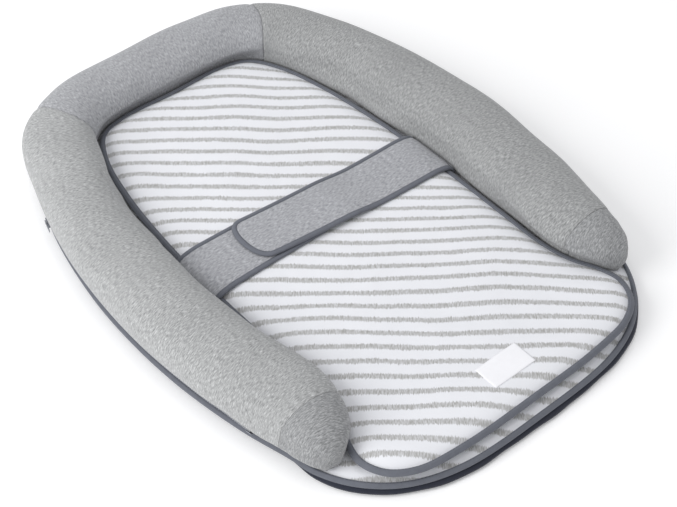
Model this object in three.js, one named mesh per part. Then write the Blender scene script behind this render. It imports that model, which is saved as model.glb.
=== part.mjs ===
// Changing pad: a flat padded base, a U-shaped bolster with a zipped cover, a removable mat in the U,
// and a two-part belly band. Millimetres, +Z up. X runs across the pad, +Y points to the head end,
// and the origin lies on the floor under the middle of the pad.
import * as THREE from 'three';

// ---------- driving dimensions ----------
const GAP = 0.3; // clearance between pieces that touch
const SIDE_ARC = { x: 478, y: -10 }; // centre of the long side curves, mirrored for the left side

const BASE = {
  sideRadius: 733, // outline radius of the long sides about SIDE_ARC
  head: [[0, 336], [106, 331], [166, 298], [204, 246]],
  foot: [[215, -258], [194, -294], [158, -325], [102, -345], [0, -350]],
  sideY: [180, 100, 20, -80, -170, -228],
  top: 15.2,
  skin: 1.2,
  binding: { low: 3.8, high: 12.4, tape: 0.9, cover: 8 },
};

const MAT = {
  outline: [[0, 276], [74, 276], [108, 264], [131, 226], [147, 160], [157, 70], [160, -30], [159, -130],
    [159, -195], [166, -228], [179, -256], [186, -285], [175, -312], [147, -331], [90, -339], [0, -340]],
  spine: [-190, 140], // Y range of the line that the mat's rings close on
  low: BASE.top + 0.4,
  edgeTop: 25.2,
  top: 30.8,
  skin: 1.1,
  tape: 1,
  cover: 9, // how far the binding reaches over each face
};

// Half-width is across the pad; `drop` is the lower half's height before it flattens on the base.
const BOLSTER = {
  centreRadius: 692, // radius of the arms' centre line about SIDE_ARC
  halfWidth: 45,
  low: BASE.top + GAP,
  middle: 41.5,
  top: 68.5,
  skin: 1.2,
  around: 16,
};
BOLSTER.drop = BOLSTER.middle - BOLSTER.low + 1.5;
// Stations along the right half: x, y, half-width, top height.
const HEAD_STATIONS = [[0, 311, 39, 67], [62, 309, 39.5, 67], [116, 300, 41, 68]];
const CORNER_STATIONS = [[158, 269, 43, 68.5]];
const SIDE_STATION_Y = [205, 130, 50, -30, -110];
const END_STATIONS = [[200, -150, 43.5, 68.5], [191, -193, 39, 68]];
const CAP_STATIONS = [[190, -222, 31.5, 66], [193, -243, 24, 61], [196, -258, 16, 54], [197, -267, 8, 45]];

const BAND = {
  pivotX: 155.6, // hinge line beside the crevice
  bendX: 134, // where a strap starts to drop into the crevice
  rootTop: 29,
  half: 1.8, // half thickness at the binding
  restHeight: 33, // middle of the band where it lies on the mat
  overHeight: 37.5, // middle of the upper strap where it crosses the lower one
  bindingCover: 4,
};
const UPPER_STRAP = { tipX: -99, rootY: -9.5, tipY: 5, rootHalf: 36.5, tipHalf: 33.5, turn: 22 };
const LOWER_STRAP = { tipX: 0, rootY: 2, tipY: -1, rootHalf: 37.5, tipHalf: 35, turn: 20 };

const LABEL = { width: 55, depth: 30, thick: 0.6, x: 2, y: -291 };

const ZIP = { from: 200, stop: -176, low: 16.6, high: 23.4, tape: 0.8, parkY: 172 };

// ---------- helpers ----------
const group = new THREE.Group();
const add = (name, geometry, material) => {
  const mesh = new THREE.Mesh(geometry, material);
  mesh.name = name;
  group.add(mesh);
  return mesh;
};
const cloth = (color, roughness = 0.95) => new THREE.MeshStandardMaterial({ color, roughness, metalness: 0 });

// Triangles that fill a nearly flat ring of points, whatever its outline.
function capFaces(ring) {
  const normal = new THREE.Vector3();
  ring.forEach((p, i) => normal.add(new THREE.Vector3().crossVectors(p, ring[(i + 1) % ring.length])));
  const turn = new THREE.Quaternion().setFromUnitVectors(normal.normalize(), new THREE.Vector3(0, 0, 1));
  const flat = ring.map((p) => p.clone().applyQuaternion(turn)).map(({ x, y }) => new THREE.Vector2(x, y));
  return THREE.ShapeUtils.triangulateShape(flat, []);
}

// Joins rings of equally many points into one closed body: the last ring meets the first when
// `round` is true, otherwise the two end rings are filled.
function loft(rings, round = false) {
  const count = rings[0].length;
  const points = rings.flat();
  const faces = [];
  const last = round ? rings.length : rings.length - 1;
  for (let k = 0; k < last; k += 1) {
    const here = k * count;
    const next = ((k + 1) % rings.length) * count;
    for (let i = 0; i < count; i += 1) {
      const j = (i + 1) % count;
      faces.push(here + i, here + j, next + j, here + i, next + j, next + i);
    }
  }
  if (!round) {
    const end = (rings.length - 1) * count;
    capFaces(rings[0]).forEach(([a, b, c]) => faces.push(c, b, a));
    capFaces(rings.at(-1)).forEach(([a, b, c]) => faces.push(end + a, end + b, end + c));
  }
  let volume = 0;
  for (let f = 0; f < faces.length; f += 3) {
    const [a, b, c] = [points[faces[f]], points[faces[f + 1]], points[faces[f + 2]]];
    volume += a.dot(new THREE.Vector3().crossVectors(b, c));
  }
  if (volume < 0) faces.reverse();
  const geometry = new THREE.BufferGeometry().setFromPoints(points);
  geometry.setIndex(faces);
  geometry.computeVertexNormals();
  return geometry;
}

const sideX = (radius, y) => Math.sqrt(radius ** 2 - (y - SIDE_ARC.y) ** 2) - SIDE_ARC.x;

// Evenly spaced points of the closed outline whose right half is given from head to foot.
function outlineLoop(half, count) {
  const left = half.slice(1, -1).reverse().map(([x, y]) => [-x, y]);
  const points = [...half, ...left].map(([x, y]) => new THREE.Vector3(x, y, 0));
  return new THREE.CatmullRomCurve3(points, true, 'centripetal').getSpacedPoints(count).slice(0, count);
}

// The loop moved inwards by `inset` and lifted to height z.
function insetRing(loop, inset, z) {
  return loop.map((p, i) => {
    const before = loop[(i + loop.length - 1) % loop.length];
    const after = loop[(i + 1) % loop.length];
    const along = new THREE.Vector3().subVectors(after, before).normalize();
    return new THREE.Vector3(p.x + along.y * inset, p.y - along.x * inset, z);
  });
}

// The loop closed by `share` of the way to the pad's middle line, at height z.
function spineRing(loop, share, z, [foot, head]) {
  return loop.map((p) => new THREE.Vector3(
    p.x * (1 - share),
    THREE.MathUtils.lerp(p.y, THREE.MathUtils.clamp(p.y, foot, head), share),
    z,
  ));
}

// A C-shaped binding folded round the edge of a loop.
function bindingGeometry(loop, { low, high, tape, cover }) {
  const bevel = 3;
  const inner = bevel + 0.4;
  const outside = [[cover, high], [bevel, high], [0, high - bevel],
    [0, low + bevel], [bevel, low], [cover, low]];
  const inside = [[cover, low + tape], [inner, low + tape], [tape, low + inner],
    [tape, high - inner], [inner, high - tape], [cover, high - tape]];
  const section = [...outside, ...inside];
  return loft(section.map(([inset, z]) => insetRing(loop, inset, z)), true);
}

// ---------- base ----------
const baseLoop = outlineLoop(
  [...BASE.head, ...BASE.sideY.map((y) => [sideX(BASE.sideRadius, y), y]), ...BASE.foot],
  60,
);
const baseSpine = [-180, 160]; // Y range of the line that the base's rings close on
const baseFlange = 3.9; // how far the covers stop short of the binding's fold
const navy = cloth(0x26292f, 0.9);
const slate = cloth(0x6f737c);
const striped = cloth(0xe9e9ee);
const melange = cloth(0xb4b4b6);
const foam = cloth(0xf2efe2, 1);

function baseUnderside() {
  const rim = BASE.binding.low + BASE.binding.tape + GAP;
  const below = [[baseFlange, rim], [9, rim], [11, 1.6], [16, 0]];
  const above = [[16, BASE.skin], [11.6, 2.8], [9.6, rim + BASE.skin], [baseFlange, rim + BASE.skin]];
  return loft([
    spineRing(baseLoop, 0.9, BASE.skin, baseSpine),
    ...above.map(([inset, z]) => insetRing(baseLoop, inset, z)),
    ...below.map(([inset, z]) => insetRing(baseLoop, inset, z)),
    spineRing(baseLoop, 0.9, 0, baseSpine),
  ]);
}

function baseTopCover() {
  const rim = BASE.binding.high - BASE.binding.tape - GAP;
  const above = [[baseFlange, rim], [8.6, rim], [13, 14.2], [20, BASE.top]];
  const below = [[20, BASE.top - BASE.skin], [13.4, 13], [9.2, rim - BASE.skin],
    [baseFlange, rim - BASE.skin]];
  return loft([
    spineRing(baseLoop, 0.9, BASE.top - BASE.skin, baseSpine),
    ...below.map(([inset, z]) => insetRing(baseLoop, inset, z)),
    ...above.map(([inset, z]) => insetRing(baseLoop, inset, z)),
    spineRing(baseLoop, 0.9, BASE.top, baseSpine),
  ]);
}

function baseCore() {
  const low = BASE.skin + GAP;
  const high = BASE.top - BASE.skin - GAP;
  const edge = [[17, low], [13, 6.8], [13, 9], [20.6, high]];
  return loft(edge.map(([inset, z]) => insetRing(baseLoop, inset, z)));
}

add('base_underside', baseUnderside(), navy);
add('base_foam_core', baseCore(), foam);
add('base_top_cover', baseTopCover(), striped);
add('base_binding', bindingGeometry(baseLoop, BASE.binding), slate);

// ---------- bolster ----------
const sideStations = SIDE_STATION_Y.map(
  (y) => [sideX(BOLSTER.centreRadius, y), y, BOLSTER.halfWidth, BOLSTER.top]);
const STATIONS = [...HEAD_STATIONS, ...CORNER_STATIONS, ...sideStations, ...END_STATIONS, ...CAP_STATIONS];
const SEAM_AT = 3; // head panel ends between the head and corner stations, counted in stations
const CAP_AT = STATIONS.length - CAP_STATIONS.length;
const LAST = STATIONS.length - 1;

const mirroredStations = STATIONS.slice(1).reverse().map(([x, y, w, t]) => [-x, y, w, t]);
const allStations = [...mirroredStations, ...STATIONS];
const centreCurve = new THREE.CatmullRomCurve3(
  allStations.map(([x, y]) => new THREE.Vector3(x, y, 0)), false, 'catmullrom', 0.5);
const sizeCurve = new THREE.CatmullRomCurve3(
  allStations.map(([, , w, t]) => new THREE.Vector3(w, t, 0)), false, 'catmullrom', 0.5);

// Ring of the bolster's surface at a station number (negative on the left half), shrunk by `inset`.
function bolsterRing(station, inset) {
  const at = (station + LAST) / (2 * LAST);
  const centre = centreCurve.getPoint(at);
  const along = centreCurve.getTangent(at);
  const { x: halfWidth, y: top } = sizeCurve.getPoint(at);
  const out = new THREE.Vector3(-along.y, along.x, 0);
  return Array.from({ length: BOLSTER.around }, (_, i) => {
    const angle = (2 * Math.PI * i) / BOLSTER.around;
    const [c, s] = [Math.cos(angle), Math.sin(angle)];
    const outerLow = s < 0 && c > 0; // the outer lower quarter is fuller than an ellipse
    const power = outerLow ? 2 / 3 : 1;
    const side = Math.sign(c) * Math.abs(c) ** power * (halfWidth - inset);
    const reach = s > 0 ? top - BOLSTER.middle : BOLSTER.drop;
    const rise = Math.sign(s) * Math.abs(s) ** power * (reach - inset);
    const z = Math.max(BOLSTER.middle + rise, BOLSTER.low + inset);
    return new THREE.Vector3(centre.x + out.x * side, centre.y + out.y * side, z);
  });
}

const steps = (from, to, count) => Array.from(
  { length: count }, (_, i) => THREE.MathUtils.lerp(from, to, i / (count - 1)));
const HEAD_STEPS = steps(-SEAM_AT, SEAM_AT, 13);
const RIGHT_STEPS = steps(SEAM_AT, CAP_AT, 14);
const LEFT_STEPS = RIGHT_STEPS.map((station) => -station).reverse();
const CAP_STEPS = steps(CAP_AT, LAST, 6);
const seamGap = 0.006; // share of a station left open on each side of a seam

// A panel of the cover: an open tube through the given stations, ending just short of both seams.
function bolsterTube(stations) {
  const panel = [stations[0] + seamGap, ...stations.slice(1, -1), stations.at(-1) - seamGap];
  const outer = panel.map((station) => bolsterRing(station, 0));
  const inner = panel.reverse().map((station) => bolsterRing(station, BOLSTER.skin));
  return loft([...outer, ...inner], true);
}

function bolsterCap(side) {
  const panel = [CAP_AT + 2 * seamGap, ...CAP_STEPS.slice(1)].map((station) => side * station);
  const outer = panel.map((station) => bolsterRing(station, 0));
  const inner = panel.slice(0, 5).reverse().map((station) => bolsterRing(station, BOLSTER.skin));
  return loft([...inner, ...outer]);
}

function bolsterFilling() {
  const half = [...RIGHT_STEPS.slice(1), ...CAP_STEPS.slice(1, -2)];
  const all = [...half.map((station) => -station).reverse(), ...HEAD_STEPS, ...half];
  return loft(all.map((station) => bolsterRing(station, BOLSTER.skin + 0.8)));
}

add('bolster_head_panel', bolsterTube(HEAD_STEPS), melange);
add('bolster_left_panel', bolsterTube(LEFT_STEPS), melange);
add('bolster_right_panel', bolsterTube(RIGHT_STEPS), melange);
add('bolster_left_end_cap', bolsterCap(-1), melange);
add('bolster_right_end_cap', bolsterCap(1), melange);
add('bolster_filling', bolsterFilling(), cloth(0xf7f7f4, 1));

// ---------- mat ----------
const matLoop = outlineLoop(MAT.outline, 60);
const matFlange = 4; // how far the covers stop short of the binding's fold

function matTop() {
  const rim = MAT.edgeTop - MAT.tape - GAP;
  const rise = [[matFlange, rim], [9.6, rim], [16, 27.6], [26, MAT.top - 0.3]];
  const above = rise.map(([inset, z]) => insetRing(matLoop, inset, z));
  const below = rise.map(([inset, z]) => insetRing(matLoop, inset + (inset > 9 ? 0.5 : 0), z - MAT.skin));
  return loft([
    spineRing(matLoop, 0.9, MAT.top - MAT.skin, MAT.spine),
    ...below.reverse(),
    ...above,
    spineRing(matLoop, 0.9, MAT.top, MAT.spine),
  ]);
}

function matWadding() {
  const low = MAT.low + MAT.tape + MAT.skin + 2 * GAP;
  const rim = MAT.edgeTop - MAT.tape - MAT.skin - 2 * GAP;
  const shape = [[4.6, low], [4.6, rim], [10.6, rim], [17, 26], [27, MAT.top - MAT.skin - 2 * GAP]];
  return loft(shape.map(([inset, z]) => insetRing(matLoop, inset, z)));
}

function matBacking() {
  const low = MAT.low + MAT.tape + GAP;
  return loft([low, low + MAT.skin].map((z) => insetRing(matLoop, matFlange, z)));
}

add('mat_top', matTop(), striped);
add('mat_wadding', matWadding(), foam);
add('mat_backing', matBacking(), cloth(0xdedfe3, 0.7));
const matEdge = { low: MAT.low, high: MAT.edgeTop, tape: MAT.tape, cover: MAT.cover };
add('mat_binding', bindingGeometry(matLoop, matEdge), slate);

const labelShape = new THREE.BoxGeometry(LABEL.width, LABEL.depth, LABEL.thick);
const label = add('mat_label', labelShape, cloth(0xf4f4f6, 0.8));
label.position.set(LABEL.x, LABEL.y, MAT.top + GAP + LABEL.thick / 2);

// ---------- belly band ----------
// A strap lies along X from its hinge line to a rounded free end. `side` is +1 for the right strap.
const strapStart = 0.4; // gap between the moving strap and its sewn root

function strapFrame(strap, side, crossesOver) {
  const rootX = BAND.pivotX - strapStart;
  const tip = strap.tipX * side; // distance of the free end from the pad's middle, towards the root
  const long = rootX - tip;
  const middleY = (x) => {
    const share = (rootX - x) / long;
    return strap.rootY + (strap.tipY - strap.rootY) * share ** 2;
  };
  const halfWidth = (x) => {
    const share = (rootX - x) / long;
    const full = THREE.MathUtils.lerp(strap.rootHalf, strap.tipHalf, share);
    const past = Math.max(0, 1 - (x - tip) / strap.turn);
    return full * (1 - past ** 2.6) ** 0.45;
  };
  const height = (x) => {
    const dive = BAND.restHeight - BAND.rootTop + BAND.half + 0.1;
    const climb = crossesOver ? BAND.overHeight - BAND.restHeight : 0;
    const down = THREE.MathUtils.smoothstep(x, BAND.bendX, rootX + 4) * dive;
    const up = (1 - THREE.MathUtils.smoothstep(x, 14, 66)) * climb;
    return BAND.restHeight - down + up;
  };
  return { rootX, tip, middleY, halfWidth, height, side };
}

// Points of the strap's edge from the root's head corner round the free end to its foot corner.
function strapEdge(frame, inset) {
  const { rootX, tip, halfWidth, middleY, side } = frame;
  const bend = [rootX, 149, 142, BAND.bendX]; // closer together where the strap drops into the crevice
  const straight = 9;
  const turn = 5;
  const turnLength = 24;
  const xs = [...bend];
  for (let i = 1; i <= straight; i += 1) {
    xs.push(THREE.MathUtils.lerp(BAND.bendX, tip + turnLength, i / straight));
  }
  for (let i = 1; i <= turn; i += 1) {
    xs.push(tip + turnLength * (1 - Math.sin((i / (turn + 1)) * (Math.PI / 2))));
  }
  const edge = (x, sign) => new THREE.Vector2(x * side, middleY(x) + sign * halfWidth(x));
  const loop = [...xs.map((x) => edge(x, 1)), ...xs.reverse().map((x) => edge(x, -1))];
  return loop.map((p, i) => {
    const before = loop[Math.max(i - 1, 0)];
    const after = loop[Math.min(i + 1, loop.length - 1)];
    const along = new THREE.Vector2().subVectors(after, before).normalize();
    return new THREE.Vector2(p.x + along.y * inset * -side, p.y + along.x * inset * side);
  });
}

// A flat layer of the strap between two offsets from its middle surface.
function strapLayer(frame, inset, from, to) {
  const { height, side } = frame;
  const edge = strapEdge(frame, inset);
  const half = edge.length / 2;
  const raised = (p, lift) => new THREE.Vector3(p.x, p.y, height(p.x * side) + lift);
  return loft(edge.slice(0, half).map((head, i) => {
    const foot = edge[edge.length - 1 - i];
    return [raised(foot, from), raised(head, from), raised(head, to), raised(foot, to)];
  }));
}

// Binding folded round both long edges and the free end.
function strapBinding(frame) {
  const { height, side } = frame;
  const tape = 0.6;
  const section = [[0, BAND.half], [BAND.bindingCover, BAND.half], [BAND.bindingCover, BAND.half - tape],
    [tape, BAND.half - tape], [tape, tape - BAND.half], [BAND.bindingCover, tape - BAND.half],
    [BAND.bindingCover, -BAND.half], [0, -BAND.half]];
  const edges = section.map(([inset]) => strapEdge(frame, inset));
  return loft(edges[0].map((_, i) => section.map(
    ([, lift], k) => new THREE.Vector3(edges[k][i].x, edges[k][i].y, height(edges[k][i].x * side) + lift))));
}

// A hook or loop patch: a thin rounded plate on one face of a strap.
function patchGeometry(width, depth, thick) {
  const radius = 6;
  const shape = new THREE.Shape();
  const [w, d] = [width / 2 - radius, depth / 2 - radius];
  shape.absarc(w, d, radius, 0, Math.PI / 2);
  shape.absarc(-w, d, radius, Math.PI / 2, Math.PI);
  shape.absarc(-w, -d, radius, Math.PI, 1.5 * Math.PI);
  shape.absarc(w, -d, radius, 1.5 * Math.PI, 2 * Math.PI);
  return new THREE.ExtrudeGeometry(shape, { depth: thick, bevelEnabled: false, curveSegments: 4 });
}

// The fixed end: up the crevice from the base and over the mat's edge, sewn down below.
function rootGeometry(side, middleY, half) {
  const wall = 2.4;
  const out = 164.8;
  const profile = [[out, BASE.top + GAP], [out, BAND.rootTop - 2], [out - 2, BAND.rootTop],
    [BAND.pivotX + 0.2, BAND.rootTop], [BAND.pivotX + 0.2, BAND.rootTop - wall],
    [out - wall, BAND.rootTop - wall - 0.6], [out - wall, BASE.top + GAP]];
  return loft([-half, half].map((across) => profile.map(
    ([x, z]) => new THREE.Vector3(side * x, middleY + across, z))));
}

const layer = { inset: 1, near: 0.15, far: 0.95 };
const patch = { width: 52, depth: 46, thick: 0.8, off: 1.3 };
const fastener = cloth(0xc9cacd, 0.9);

function addStrap(name, strap, side, crossesOver) {
  const frame = strapFrame(strap, side, crossesOver);
  add(`${name}_cover`, strapLayer(frame, layer.inset, layer.near, layer.far), melange);
  add(`${name}_backing`, strapLayer(frame, layer.inset, -layer.far, -layer.near), melange);
  add(`${name}_binding`, strapBinding(frame), slate);
  add(`${name}_root`, rootGeometry(side, strap.rootY, strap.rootHalf), melange);
  return frame;
}
addStrap('strap_right', UPPER_STRAP, 1, true);
addStrap('strap_left', LOWER_STRAP, -1, false);

const patchX = -42;
const patchShape = patchGeometry(patch.width, patch.depth, patch.thick);
const hookPatch = add('strap_right_hook_patch', patchShape, fastener);
hookPatch.position.set(patchX, 0, BAND.overHeight - patch.off - patch.thick);
const loopPatch = add('strap_left_loop_patch', patchShape.clone(), fastener);
loopPatch.position.set(patchX, 0, BAND.restHeight + patch.off);

// ---------- zip of the bolster's cover, along the left arm's outer lower edge ----------
// A band that follows the left arm between two heights, standing off its surface.
const flankStation = (y) => {
  const heights = allStations.map(([, stationY]) => stationY);
  for (let i = 0; i < LAST; i += 1) {
    if (y >= heights[i] && y <= heights[i + 1]) {
      let [low, high] = [i, i + 1];
      for (let step = 0; step < 30; step += 1) {
        const mid = (low + high) / 2;
        if (centreCurve.getPoint(mid / (2 * LAST)).y < y) low = mid;
        else high = mid;
      }
      return low - LAST;
    }
  }
  return 0;
};

function flankPoint(y, z, off) {
  const at = (flankStation(y) + LAST) / (2 * LAST);
  const centre = centreCurve.getPoint(at);
  const along = centreCurve.getTangent(at);
  const reach = (1 - ((BOLSTER.middle - z) / BOLSTER.drop) ** 3) ** (1 / 3);
  const side = sizeCurve.getPoint(at).x * reach + off;
  return new THREE.Vector3(centre.x - along.y * side, centre.y + along.x * side, z);
}

function flankBand(fromY, toY, low, high, near, far, count) {
  const middle = (low + high) / 2;
  const section = [[low, near], [low, far], [middle, far], [high, far], [high, near], [middle, near]];
  const rings = steps(fromY, toY, count).map((y) => section.map(([z, off]) => flankPoint(y, z, off)));
  return loft(rings);
}

const zipMiddle = (ZIP.low + ZIP.high) / 2;
const zipMetal = new THREE.MeshStandardMaterial({ color: 0x8b8f96, roughness: 0.4, metalness: 0.3 });
add('zip_tape', flankBand(ZIP.stop, ZIP.from, ZIP.low, ZIP.high, 1, 1 + ZIP.tape, 20), cloth(0xa3a5aa));
const coilBand = flankBand(ZIP.stop + 4, ZIP.from - 20, zipMiddle - 1.4, zipMiddle + 1.4, 2.3, 3.9, 20);
add('zip_coil', coilBand, cloth(0x8f9298, 0.6));
const stopBand = flankBand(ZIP.stop - 5, ZIP.stop + 3.4, zipMiddle - 2.2, zipMiddle + 2.2, 2.3, 4.1, 3);
add('zip_end_stop', stopBand, zipMetal);

// The slider rides outside the coil and turns about the centre of the arm's side curve.
const slider = new THREE.Group();
const parkPoint = flankPoint(ZIP.parkY, zipMiddle, 0);
const parkAngle = Math.atan2(parkPoint.y - SIDE_ARC.y, SIDE_ARC.x - parkPoint.x);
slider.position.copy(parkPoint);
slider.rotation.z = -parkAngle;
group.add(slider);

const sliderBody = new THREE.Mesh(new THREE.BoxGeometry(2.2, 10, 7), zipMetal);
sliderBody.name = 'zip_slider';
sliderBody.position.set(-7.2, 0, 0);
slider.add(sliderBody);

const pull = new THREE.Mesh(new THREE.BoxGeometry(1, 16, 4.4), zipMetal);
pull.name = 'zip_pull';
pull.position.set(-9.3, -5, 0);
slider.add(pull);

export default group;
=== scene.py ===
"""Changing pad: cloth, padding, bindings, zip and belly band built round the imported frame."""

import math

import bmesh
import bpy
import numpy as np
from mathutils import Matrix, Vector


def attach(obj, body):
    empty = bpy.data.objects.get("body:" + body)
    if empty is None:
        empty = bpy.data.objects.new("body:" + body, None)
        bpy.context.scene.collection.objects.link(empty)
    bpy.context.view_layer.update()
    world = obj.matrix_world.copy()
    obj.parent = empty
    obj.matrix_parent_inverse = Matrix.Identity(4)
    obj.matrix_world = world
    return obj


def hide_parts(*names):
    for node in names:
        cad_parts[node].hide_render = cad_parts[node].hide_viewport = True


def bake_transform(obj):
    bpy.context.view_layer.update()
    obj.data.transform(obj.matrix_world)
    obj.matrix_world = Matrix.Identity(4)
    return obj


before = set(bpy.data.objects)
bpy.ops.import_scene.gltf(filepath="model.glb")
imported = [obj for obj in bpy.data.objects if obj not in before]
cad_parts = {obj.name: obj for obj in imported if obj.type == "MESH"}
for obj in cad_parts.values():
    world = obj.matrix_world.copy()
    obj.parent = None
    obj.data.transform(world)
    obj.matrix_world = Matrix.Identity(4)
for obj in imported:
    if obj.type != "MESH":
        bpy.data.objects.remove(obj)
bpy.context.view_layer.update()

# ---------- driving dimensions, in millimetres (the frame is in metres) ----------
MM = 0.001
SIDE_ARC = (478, -10)  # centre of the long side curves, mirrored for the left side

BASE_HEAD = [(0, 336), (106, 331), (166, 298), (204, 246)]
BASE_SIDE_RADIUS = 733
BASE_SIDE_Y = [180, 100, 20, -80, -170, -228]
BASE_FOOT = [(215, -258), (194, -294), (158, -325), (102, -345), (0, -350)]
BASE_SPINE = (-180, 160)
BASE_EDGE = (7.4, 12.4)  # lowest and highest point of the binding

MAT_OUTLINE = [(0, 276), (74, 276), (108, 264), (131, 226), (147, 160), (157, 70), (160, -30), (159, -130),
               (159, -195), (165, -228), (177, -255), (182.5, -283), (171.5, -309), (144, -327.5), (90, -336),
               (0, -337.5)]
MAT_SPINE = (-190, 140)
MAT_LOW, MAT_EDGE_LOW, MAT_EDGE_TOP = 15.6, 20.2, 25.2

BOLSTER_RADIUS = 692
BOLSTER_LOW, BOLSTER_MIDDLE, BOLSTER_TOP = 15.5, 41.5, 68.5
BOLSTER_DROP = BOLSTER_MIDDLE - BOLSTER_LOW + 1.5
HEAD_STATIONS = [(0, 311, 39, 67), (62, 309, 39.5, 67), (116, 300, 41, 68)]
CORNER_STATIONS = [(158, 269, 43, 68.5)]
SIDE_STATION_Y = [205, 130, 50, -30, -110]
END_STATIONS = [(200, -150, 44, 68.5), (191, -193, 41.5, 68.5)]
CAP_STATIONS = [(189.5, -222, 36, 67), (192, -243, 29.5, 63.5), (195, -258, 21, 57), (196.5, -267, 11, 48)]
SEAM_STATION, CAP_STATION = 2.6, 11

STRAP_ROOT_X = 155.2
STRAP_HALF, REST_HEIGHT, OVER_HEIGHT, LAYER_INSET = 1.8, 33.0, 37.5, 4.0
UPPER_STRAP = dict(tip=-99, root_y=-9.5, tip_y=5, root_half=36.5, tip_half=33.5, turn=22)
LOWER_STRAP = dict(tip=0, root_y=2, tip_y=-1, root_half=37.5, tip_half=35, turn=20)

LABEL = dict(width=55, depth=30, x=2, y=-291)
PATCH = dict(width=52, depth=46, x=-42)
ZIP_FROM, ZIP_STOP, ZIP_LOW, ZIP_HIGH = 200, -176, 16.6, 23.4

LENS = 74.85
CAMERA_PLACE = (-0.68288, -0.86598, 1.10941)  # metres; the next three lines are the camera's own axes
CAMERA_RIGHT = (0.76609, -0.64268, -0.00867)
CAMERA_UP = (0.46844, 0.54906, 0.69217)
CAMERA_BACK = (-0.44008, -0.53432, 0.72168)
KEY_LIGHT = dict(place=(-2.1, 0.4, 1.45), side=1.6, power=40)
TOP_LIGHT = dict(place=(0.2, 0.3, 2.4), side=1.8, power=8)
WORLD_COLOUR, WORLD_STRENGTH = (0.975, 0.98, 1.0, 1), 0.66


# ---------- curves ----------
def hermite(b, c, t0, t1, w):
    """Between the points b and c with the slopes t0 and t1, at the share w."""
    return b + t0 * w + (3 * (c - b) - 2 * t0 - t1) * w**2 + (2 * (b - c) + t0 + t1) * w**3


def unit(vectors):
    return vectors / np.linalg.norm(vectors, axis=-1)[..., None]


def leftwards(vectors):
    """Plane vectors turned a quarter turn to the left."""
    return np.stack([-vectors[..., 1], vectors[..., 0]], -1)


def curve(points, closed=False, centripetal=False):
    """A Catmull-Rom curve through the points: a function from parameters 0..1 to points."""
    p = np.array(points, float)
    if closed:
        knots, spans = np.vstack([p[-1:], p, p[:2]]), len(p)
    else:
        knots, spans = np.vstack([2 * p[0] - p[1], p, 2 * p[-1] - p[-2]]), len(p) - 1

    def at(parameters):
        u = np.asarray(parameters, float) * spans
        i = np.clip(np.floor(u).astype(int), 0, spans - 1)
        w = (u - i)[:, None]
        a, b, c, d = knots[i], knots[i + 1], knots[i + 2], knots[i + 3]
        if centripetal:
            g0, g1, g2 = (np.sqrt(np.linalg.norm(q, axis=1))[:, None] for q in (b - a, c - b, d - c))
            t0 = ((b - a) / g0 - (c - a) / (g0 + g1) + (c - b) / g1) * g1
            t1 = ((c - b) / g1 - (d - b) / (g1 + g2) + (d - c) / g2) * g1
        else:
            t0, t1 = 0.5 * (c - a), 0.5 * (d - b)
        return hermite(b, c, t0, t1, w)

    return at


def lengths(points):
    """Distance along a polyline at each of its points."""
    return np.concatenate([[0], np.cumsum(np.linalg.norm(np.diff(points, axis=0), axis=1))])


def side_x(radius, y):
    return math.sqrt(radius**2 - (y - SIDE_ARC[1]) ** 2) - SIDE_ARC[0]


def even_loop(half, count):
    """Evenly spaced points of the closed outline whose right half is given from head to foot."""
    half = np.array(half, float)
    dense = curve(np.vstack([half, half[1:-1][::-1] * (-1, 1)]), closed=True, centripetal=True)(
        np.linspace(0, 0.5, 3001))
    along = lengths(dense)
    want = np.linspace(0, along[-1], count // 2 + 1)
    right = np.stack([np.interp(want, along, dense[:, k]) for k in (0, 1)], axis=1)
    right[[0, -1], 0] = 0
    return np.vstack([right, right[1:-1][::-1] * (-1, 1)])


def inset_loop(loop, inset):
    """The loop moved inwards; inset is one number or one for each point."""
    along = unit(np.roll(loop, -1, 0) - np.roll(loop, 1, 0))
    return loop - leftwards(along) * np.reshape(inset, (-1, 1))


def spine_loop(loop, share, spine):
    """The loop closed by share of the way to the middle line."""
    y = loop[:, 1]
    return np.stack([loop[:, 0] * (1 - share), y + (np.clip(y, *spine) - y) * share], 1)


def smooth(x, low, high):
    t = np.clip((np.asarray(x, float) - low) / (high - low), 0, 1)
    return t * t * (3 - 2 * t)


# ---------- meshes ----------
def piece(name, points, faces, material, uv, merge=False):
    """A smooth mesh from points in millimetres; uv holds one pair in metres for each face corner."""
    mesh = bpy.data.meshes.new(name)
    mesh.from_pydata((np.asarray(points) * MM).tolist(), [], faces.tolist())
    layer = mesh.uv_layers.new(name="cloth")
    layer.data.foreach_set("uv", np.asarray(uv, float).ravel())
    build = bmesh.new()
    build.from_mesh(mesh)
    if merge:
        bmesh.ops.remove_doubles(build, verts=build.verts, dist=0.02 * MM)
        bmesh.ops.dissolve_degenerate(build, edges=build.edges, dist=0.01 * MM)
    if build.calc_volume(signed=True) < 0:
        bmesh.ops.reverse_faces(build, faces=build.faces)
    build.to_mesh(mesh)
    build.free()
    mesh.polygons.foreach_set("use_smooth", [True] * len(mesh.polygons))
    mesh.materials.append(material)
    thing = bpy.data.objects.new(name, mesh)
    bpy.context.scene.collection.objects.link(thing)
    return thing


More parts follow.
